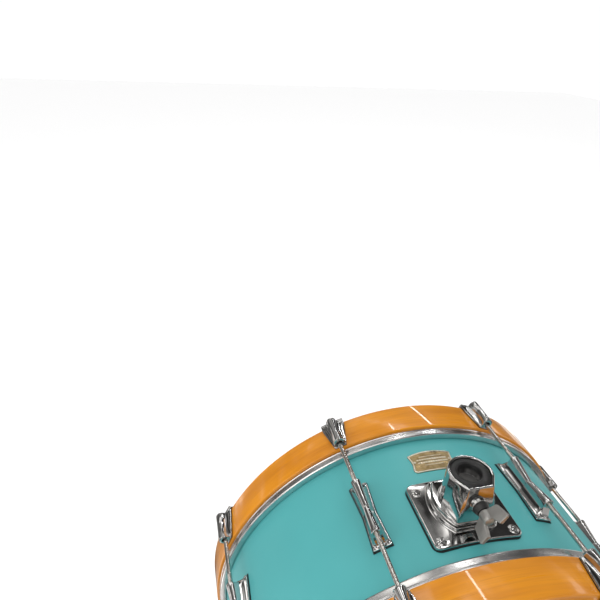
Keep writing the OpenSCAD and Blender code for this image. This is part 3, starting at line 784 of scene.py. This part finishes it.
def receiver_shape():
    """One casting: a crowned foot plate, a boss in two steps and an open-topped tower with thin walls."""
    plate, boss, foot, top = receiver_outlines()
    rings = []

    def level(outline, z, crown=0.0):
        rings.append([(p.x, p.y, z - (p.x * p.x / (2 * crown) if crown else 0)) for p in outline])

    low = SHELL_R + GASKET_THICK
    level(inset(plate, 8), low + 0.1, low)
    level(inset(plate, 0.4), low, low)
    level(plate, low + 0.5, low)
    for d, drop in ((0.0, 1.3), (0.15, 0.75), (0.5, 0.3), (1.1, 0.05), (1.8, 0.0)):
        level(inset(plate, d), PLATE_TOP - drop, PLATE_CROWN)
    for d, rise in ((-1.6, 0.0), (-0.7, 0.25), (-0.2, 0.8), (0.0, 1.7)):
        level(inset(boss, d), PLATE_TOP + rise, PLATE_CROWN if rise < 1 else BOSS_CROWN)
    for d, drop in ((0.15, 1.1), (0.25, 0.5), (0.55, 0.15), (1.0, 0.0)):
        level(inset(boss, d), BOSS_LEDGE - drop)
    for d, rise in ((3.2, 0.0), (3.8, 0.2), (4.1, 0.7)):
        level(inset(boss, d), BOSS_LEDGE + rise)
    for d, drop in ((4.3, 1.1), (4.45, 0.5), (4.8, 0.15), (5.3, 0.0)):
        level(inset(boss, d), BOSS_TOP - drop)
    for d, rise in ((-1.8, 0.0), (-0.9, 0.25), (-0.3, 0.9), (0.0, 2.0)):
        level(inset(foot, d), BOSS_TOP + rise)
    height = TOWER_TOP - BOSS_TOP
    for k in range(1, 12):
        t = k / 12
        blended = [a.lerp(b, t) for a, b in zip(foot, top)]
        level(blended, BOSS_TOP + 2 + (height - 4) * t)
    rim = ((0.0, 1.2), (0.12, 0.55), (0.45, 0.12), (0.9, 0.0), (2.1, 0.0), (2.6, 0.15), (2.9, 0.7))
    for d, drop in rim:
        level(inset(top, d), TOWER_TOP - drop)
    level(inset(top, 3.05), BUSH_TOP - 8)
    shape = Shape().loft(rings)
    wing_seat = fillet([(0.01, -44), (9.4, -44), (9.4, collar_high.y), (0.01, collar_high.y)],
                       [0, 0, 0.9, 0], 4)
    return shape.turned(wing_seat, axis=(0, WING_Z), segments=48)


def bush_shape():
    """The bushing: its plan follows the tower's inside, with a round bore and softened rims."""
    n = 180
    outer = polar(inset(tower_outline(0), TOWER_WALL), (0, TUBE_Y), n)
    bore = [Vector((BUSH_BORE_R * math.cos(a), TUBE_Y + BUSH_BORE_R * math.sin(a))) for a in turns(n)]
    low = bush_low.z - AXIS_Z
    levels = [(outer, 0.0, low), (outer, 0.0, BUSH_TOP - 0.8), (outer, 0.25, BUSH_TOP - 0.25),
              (outer, 0.8, BUSH_TOP), (bore, -1.6, BUSH_TOP), (bore, -0.9, BUSH_TOP - 0.25),
              (bore, 0.0, BUSH_TOP - 1.4), (bore, 0.0, low)]
    rings = [[(p.x, p.y, z) for p in inset(outline, d)] for outline, d, z in levels]
    return Shape().loft(rings, wrap=True)


def crosshead(radius, dome, cross_turn):
    """An oval screw head with a crossed recess, as fine rings whose heights follow the dome and the cross."""
    count = 22
    arm_w, arm_l, middle_r, depth = 0.72, radius * 0.52, radius * 0.26, 1.25
    rings = []
    for i in range(1, count + 1):
        r = radius * i / count
        ring = []
        for a in turns(96):
            x, y = r * math.cos(a - cross_turn), r * math.sin(a - cross_turn)
            arm = min(max(abs(x) / arm_w, abs(y) / arm_l), max(abs(y) / arm_w, abs(x) / arm_l))
            middle = math.hypot(x, y) / middle_r
            dip = depth * (1 - min(1.0, max(0.0, (min(arm, middle) - 0.75) / 0.3)))
            z = dome * (1 - (r / radius) ** 2.2) - dip
            ring.append((r * math.cos(a), r * math.sin(a), z))
        rings.append(ring)
    skirt = [(p[0] * 0.94, p[1] * 0.94, -1.8) for p in rings[-1]]
    return Shape().loft(rings + [skirt])


def screw_shape(x, y, turn):
    """A crosshead screw through the plate and the shell, with its nut inside."""
    top = PLATE_TOP - x * x / (2 * PLATE_CROWN) + 0.35
    screw_end, nut_low, nut_high, nut_r = 236, 237, 241, 5.0
    screw = crosshead(5.8, 1.7, turn).shifted(x, y, top)
    shank = fillet([(0.01, screw_end), (2.5, screw_end), (2.5, top - 1), (0.01, top - 1)], [0, 0.4, 0, 0], 3)
    screw.turned(shank, axis=(x, y), segments=20, along="z")
    corners = [math.radians(60 * k) for k in range(6)]
    nut = fillet([Vector((nut_r * math.cos(a), nut_r * math.sin(a))) for a in corners], 0.4, 2)
    return screw.join(Shape().slab(nut, nut_low, nut_high, edge=0.4).shifted(x, y))


def wing_shape(hub_r, hub_l, span, spread, shank_r, shank_l):
    """A wing bolt along z: a barrel hub, two spread paddles and the shank below."""
    hub = fillet([(0.01, 0), (hub_r * 0.86, 0), (hub_r, 0.9), (hub_r * 0.94, hub_l * 0.7),
                  (hub_r * 0.8, hub_l), (0.01, hub_l + 0.6)], [0, 0.5, 0.9, 3, 1.6, 0], 4)
    shape = Shape().turned(hub, segments=48, along="z")
    shank = fillet([(0.01, -shank_l), (shank_r, -shank_l), (shank_r, 0.5), (0.01, 0.5)], [0, 0.7, 0, 0], 3)
    shape.turned(shank, segments=32, along="z")
    paddle = fillet([(hub_r * 0.3, 0.8), (hub_r * 0.85, 0.5), (span * 0.82, spread * 0.22),
                     (span, spread * 0.92), (span * 0.94, spread), (span * 0.44, spread),
                     (hub_r * 0.86, hub_l * 0.95), (hub_r * 0.3, hub_l * 0.9)],
                    [0.2, 1.0, 2.4, 1.0, 1.0, 1.6, 3.0, 0.2], 4)
    for side in (0, math.pi):
        wing = Shape().slab(paddle, -hub_r * 0.4, hub_r * 0.4, edge=0.9, steps=4)
        for v in wing.verts:
            taper = 1 - 0.35 * max(0.0, (v.x - hub_r) / (span - hub_r))
            v.z *= taper
        wing.moved(Matrix.Rotation(side, 3, "Z") @ Matrix.Rotation(math.pi / 2, 3, "X"))
        shape.join(wing)
    return shape


def build_receiver():
    def part(name, shape, sharp, material, node, body="drum"):
        piece(name, mesh_of(name, shape, sharp), material, body, [node], round_shell(0))

    part("receiver_casting", receiver_shape(), 42, CHROME, "tom_receiver")
    part("receiver_bush", bush_shape(), 42, NYLON, "receiver_bushing")
    screws = Shape()
    for x, y, turn in ((-42, -60.5, 0.35), (42, -60.5, 1.1), (42, 4.5, 0.75), (-42, 4.5, 0.1)):
        screws.join(screw_shape(x, y, turn))
    part("receiver_crossheads", screws, 45, SCREW_STEEL, "receiver_screws")
    y0, y1 = collar_low.y, collar_high.y
    ring = fillet([(4.05, y0), (6.9, y0), (7.3, y0 + 1.2), (8.8, y1 - 1.6), (8.8, y1), (4.05, y1)],
                  [0.2, 0.4, 0.6, 0.8, 0.4, 0.2], 4)
    collar = Shape().turned(ring, axis=(0, WING_Z), segments=64)
    part("wing_collar", collar, 32, NYLON, "receiver_collar")
    bolt_low, bolt_high = box_mm("receiver_wing_bolt")
    hub_y = y0 - 0.3
    wing = wing_shape(6.6, 12, 22, hub_y - bolt_low.y, 4.0, bolt_high.y - hub_y)
    wing.moved(Matrix.Rotation(math.radians(28), 3, "Y") @ Matrix.Rotation(math.pi / 2, 3, "X")
               @ Matrix.Rotation(math.pi / 2, 3, "Z"))
    wing.shifted(y=hub_y, z=WING_Z)
    part("receiver_wing", wing, 38, DIE_CAST, "receiver_wing_bolt", "receiver_wing_bolt")


# ---- badge ----

def build_badge():
    """A bent plaque with a raised rim, plain raised strokes and two nails."""
    y = (badge_low.y + badge_high.y) / 2
    half_l, half_w = (badge_high.y - badge_low.y) / 2, (badge_high.x - badge_low.x) / 2
    crown = 98.0
    top = arc(0, y + half_l - crown, crown, 73, 107, 14)
    side = [(-26.8, y + 3), (-26.8, y - 3), (-half_w, y - half_l + 4), (-half_w + 3, y - half_l),
            (half_w - 3, y - half_l), (half_w, y - half_l + 4), (26.8, y - 3), (26.8, y + 3)]
    outline = polar(fillet(top + [Vector(p) for p in side], 1.2, 3), (0, y), 240)

    def sag(p):
        return -p.x * p.x / (2 * SHELL_R)

    def bent(points, z):
        return [(p.x, p.y, z + sag(p)) for p in points]

    z, field, rim_w = SHELL_R, SHELL_R + 0.70, 2.3
    steps = [(0.0, 0.0), (0.0, 0.85), (0.15, 1.08), (0.45, 1.18), (1.5, 1.18), (1.8, 1.08), (2.0, 0.75)]
    rings = [bent(inset(outline, d), z + rise) for d, rise in steps]
    within = inset(outline, rim_w)
    for k in range(7):
        scale = 1 - k / 7
        rings.append(bent([Vector((p.x * scale, y + (p.y - y) * scale)) for p in within], field))
    shape = Shape().loft(rings)
    for row, (length, thick) in enumerate([(15, 0.5), (20, 1.1), (20, 1.1), (12, 0.5)]):
        low, high = y + 7.5 - row * 4.6 - thick, y + 7.5 - row * 4.6 + thick
        for k in range(12):
            x = -length + 2 * length * (k + 0.5) / 12
            w = length / 12 * 0.86
            stroke = fillet([(x - w, low), (x + w, low), (x + w, high), (x - w, high)], 0.2, 2)
            shape.slab(stroke, z + 0.5, z + 0.92, edge=0.12, steps=2, lift=sag)
    piece("badge_plaque", mesh_of("badge_plaque", shape, sharp=45), BADGE, "drum", ["badge"],
          round_shell(0))
    profile = fillet([(0.01, z), (0.8, z), (0.8, z + 1.0), (1.7, z + 1.05), (1.6, z + 1.5), (0.01, z + 1.9)],
                     [0, 0, 0, 0.2, 0.5, 0], 4)
    mesh = mesh_of("badge_nail", Shape().turned(profile, axis=(0, y), segments=32, along="z"))
    for side, sign in (("left", -1), ("right", 1)):
        piece(f"badge_nail_{side}", mesh, BADGE, "drum", ["badge_nails"],
              round_shell(sign * math.radians(5.2)))


# ---- spurs ----

JOINTS = {j["name"]: j for j in frame["joints"]}


def spur_frame():
    """The right spur's frame at its pivot: X along the leg, Z along the pivot's pin."""
    slide = Vector(JOINTS["spur_leg_slide_right"]["axis"]).normalized()
    fold = JOINTS["spur_fold_right"]
    pin = Vector(fold["axis"]).normalized()
    turn = Matrix((slide, pin.cross(slide), pin)).transposed().to_4x4()
    return Matrix.Translation(fold["pos_m"]) @ turn


def build_spurs():
    """The moving parts of both spurs, drawn for the right one and mirrored for the left."""
    place = spur_frame()
    leg_r, foot_r = 6.5, 9.5
    to_floor = (place.translation.z / MM - foot_r) / -place.col[0].z
    leg = Shape().turned(fillet([(0.01, 18), (leg_r, 18), (leg_r, to_floor - 3), (0.01, to_floor - 3)],
                                [0, 0.8, 0.8, 0], 4), segments=48)
    groove = foot_r - 0.9
    ribs = [(0.01, 16.2), (leg_r + 0.05, 16.2), (leg_r + 1.6, 16), (foot_r, 13.5), (foot_r, 10.5),
            (groove, 10), (groove, 9), (foot_r, 8.5), (foot_r, 6), (groove, 5.5), (groove, 4.5), (foot_r, 4)]
    dome = [(foot_r * math.cos(math.radians(a)) + 0.01, to_floor + foot_r * math.sin(math.radians(a)))
            for a in range(0, 91, 6)]
    foot = Shape().turned([(r, to_floor - back) for r, back in ribs] + dome, segments=48)
    along_x = Matrix.Rotation(-math.pi / 2, 3, "Z")
    bolt = Shape()
    bolt.turned(fillet([(0.01, 8.4), (7, 8.4), (7, 10.2), (6, 10.9), (0.01, 10.9)], [0, 0.3, 0.4, 0.4, 0], 3),
                segments=40, along="z")
    bolt.turned([(0.01, -20.4), (3.6, -20.4), (4.0, -20), (4.0, 9), (0.01, 9)], segments=32, along="z")
    bolt.slab(key_square(), 10.5, 16.6, edge=0.6)
    wing_low, wing_along = 15.6, 60
    wing = wing_shape(4.8, 8, 17, 15, 3.0, wing_low - leg_r - 0.3)
    wing.moved(Matrix.Rotation(math.pi / 2, 3, "X")).shifted(wing_along, -wing_low)
    shapes = {
        "leg": (leg.moved(along_x), CHROME, "spur_leg", "chrome", "spur_leg"),
        "foot": (foot.moved(along_x), RUBBER, "spur_leg", "foot_rubber", "spur_foot"),
        "leg_wing": (wing, DIE_CAST, "spur_leg_wing", "die_cast", "spur_leg_wing"),
        "key_bolt": (bolt, ROD_STEEL, "spur_pivot_bolt", "rod_steel", "spur_pivot_bolt"),
    }
    place_mm = place.copy()
    place_mm.translation = place.translation / MM
    for name, (shape, material, body, slot, node) in shapes.items():
        shape.moved(place_mm)
        for side in ("left", "right"):
            mesh = mesh_of(f"{name}_{side}", shape, sharp=40, mirror=side == "left")
            piece(f"spur_{name}_{side}_part", mesh, material, f"{body}_{side}",
                  [f"{node}_{side}"])


# ---- the whole drum ----

build_hoops()
build_flesh_hoops()
build_heads()
build_lugs()
build_rods()
build_claws()
build_receiver()
build_badge()
build_spurs()
refinish(SHELL, "shell")
refinish(RUBBER, "claw_gaskets", "lug_gaskets", "receiver_gasket", "spur_gaskets")
refinish(SCREW_STEEL, "lug_screws", "spur_screws", "receiver_backplate")
refinish(NUT_BRASS, "swivel_nuts")
for side in ("left", "right"):
    refinish(CHROME, f"spur_bracket_{side}", f"spur_holder_{side}")
    soften(0.7, f"spur_bracket_{side}", f"spur_holder_{side}")


# ---- floor, light and camera ----

def build_floor():
    bpy.ops.mesh.primitive_plane_add(size=14, location=(0, 2, 0))
    floor = bpy.context.object
    floor.name = "studio_floor"
    floor.visible_glossy = False
    n = Nodes("studio_floor")
    floor.data.materials.append(n.finish((0.96, 0.96, 0.96), 0.9, Specular_IOR_Level=0.1))


def build_world():
    """White for the camera and for matt surfaces, and a room of dark and bright parts for gloss."""
    world = bpy.data.worlds.new("studio")
    bpy.context.scene.world = world
    world.use_nodes = True
    tree = world.node_tree
    tree.nodes.clear()
    out = tree.nodes.new("ShaderNodeOutputWorld")
    plain = tree.nodes.new("ShaderNodeBackground")
    plain.inputs["Color"].default_value = (1.0, 1.0, 1.0, 1)
    plain.inputs["Strength"].default_value = 1.02
    room = tree.nodes.new("ShaderNodeBackground")
    coords = tree.nodes.new("ShaderNodeTexCoord")
    mapping = tree.nodes.new("ShaderNodeMapping")
    mapping.inputs["Scale"].default_value = (1.0, 1.0, 2.2)
    noise = tree.nodes.new("ShaderNodeTexNoise")
    noise.inputs["Scale"].default_value = 2.3
    noise.inputs["Detail"].default_value = 3.0
    ramp = tree.nodes.new("ShaderNodeValToRGB")
    greys = [(0.0, 0.012), (0.44, 0.04), (0.50, 0.26), (0.56, 0.50), (0.62, 2.4)]
    fill_ramp(ramp.color_ramp, [(at, (v, v * 0.97, v * 0.93)) for at, v in greys])
    path = tree.nodes.new("ShaderNodeLightPath")
    mix = tree.nodes.new("ShaderNodeMixShader")
    link = tree.links.new
    link(coords.outputs["Generated"], mapping.inputs["Vector"])
    link(mapping.outputs["Vector"], noise.inputs["Vector"])
    link(noise.outputs["Fac"], ramp.inputs["Fac"])
    link(ramp.outputs["Color"], room.inputs["Color"])
    link(path.outputs["Is Glossy Ray"], mix.inputs["Fac"])
    link(plain.outputs[0], mix.inputs[1])
    link(room.outputs[0], mix.inputs[2])
    link(mix.outputs[0], out.inputs["Surface"])


def area_light(name, place, aim, width, height, power):
    data = bpy.data.lights.new(name, "AREA")
    data.shape = "RECTANGLE"
    data.size, data.size_y = width, height
    data.energy = power
    obj = bpy.data.objects.new(name, data)
    bpy.context.scene.collection.objects.link(obj)
    obj.location = place
    obj.rotation_euler = (Vector(aim) - Vector(place)).to_track_quat("-Z", "Y").to_euler()
    return obj


def build_lights():
    """Soft lights that gloss doesn't show, and two thin tubes for the stripes on the hoops."""
    for name, place, power in (("key", (-1.2, -1.0, 2.6), 9), ("fill", (2.0, 1.4, 2.2), 7),
                               ("side", (-2.4, -0.5, 0.9), 16)):
        area_light(name, place, (0, 0, 0.3), 1.5, 1.2, power).visible_glossy = False
    top = Vector((0, 0, (AXIS_Z + HOOP_R) * MM))
    for across, along, power in ((0.2235, 0.56, 3.6), (0.839, 1.247, 7.0)):
        tube = area_light("tube", top + Vector((across, along, 1)) * 2, top, 0.045, 1.6, power)
        tube.rotation_euler = (0, 0, 0)


def build_camera():
    """The camera stands on the player's side, to the left of the drum and a little above it."""
    forward = Vector((0.21785, 0.85795, -0.46526)).normalized()
    right = Vector((0.97400, -0.22145, 0.04771))
    right = (right - forward * right.dot(forward)).normalized()
    up = right.cross(forward)
    data = bpy.data.cameras.new("camera")
    data.sensor_width = 36
    data.lens = 32.02
    obj = bpy.data.objects.new("camera", data)
    bpy.context.scene.collection.objects.link(obj)
    turn = Matrix((right, up, -forward)).transposed().to_4x4()
    obj.matrix_world = Matrix.Translation((-0.2909, -0.3875, 0.9947)) @ turn
    bpy.context.scene.camera = obj


build_floor()
build_world()
build_lights()
build_camera()
bpy.context.scene.view_settings.view_transform = "Standard"
